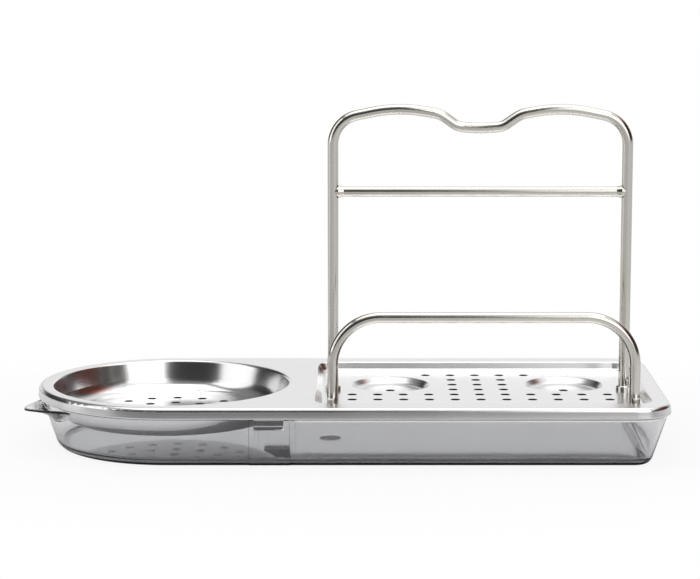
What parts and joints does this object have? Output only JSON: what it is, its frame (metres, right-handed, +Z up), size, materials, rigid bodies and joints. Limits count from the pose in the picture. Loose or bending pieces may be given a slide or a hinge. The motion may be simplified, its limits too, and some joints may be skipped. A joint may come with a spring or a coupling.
{
  "type": "sponge holder",
  "caption": "Steel kitchen caddy with a bottle bowl and a perforated sponge pan between wire frames, lifting off a clear drip tray with a pouring spout",
  "frame": {"origin": "middle of the footprint, on the surface that the drip tray stands on", "axes": "+X along the length, towards the square end with the sponge pan; +Y towards the rear; +Z up"},
  "size_m": [0.2971, 0.1274, 0.1607],
  "materials": {
    "clear_plastic": "clear, glossy",
    "polished_steel": "polished, fine grain",
    "satin_steel": "satin",
    "clip_steel": "plain",
    "fixing_steel": "plain"
  },
  "bodies": {
    "tray": {"drip_tray": "clear_plastic"},
    "steel_top": {"top_plate": "polished_steel", "rear_rack": "satin_steel", "rear_crossbar": "satin_steel", "front_loop": "satin_steel", "front_clip": "clip_steel", "rear_clip": "clip_steel", "rear_left_collar": "satin_steel", "rear_left_washer": "fixing_steel", "rear_left_nut": "fixing_steel", "rear_right_collar": "satin_steel", "rear_right_washer": "fixing_steel", "rear_right_nut": "fixing_steel", "front_left_collar": "satin_steel", "front_left_washer": "fixing_steel", "front_left_nut": "fixing_steel", "front_right_collar": "satin_steel", "front_right_washer": "fixing_steel", "front_right_nut": "fixing_steel"}
  },
  "joints": [
    {"name": "top_lift_off", "type": "slide", "parent": "tray", "child": "steel_top", "axis": [0, 0, 1], "range_m": [0, 0.06]}
  ]
}
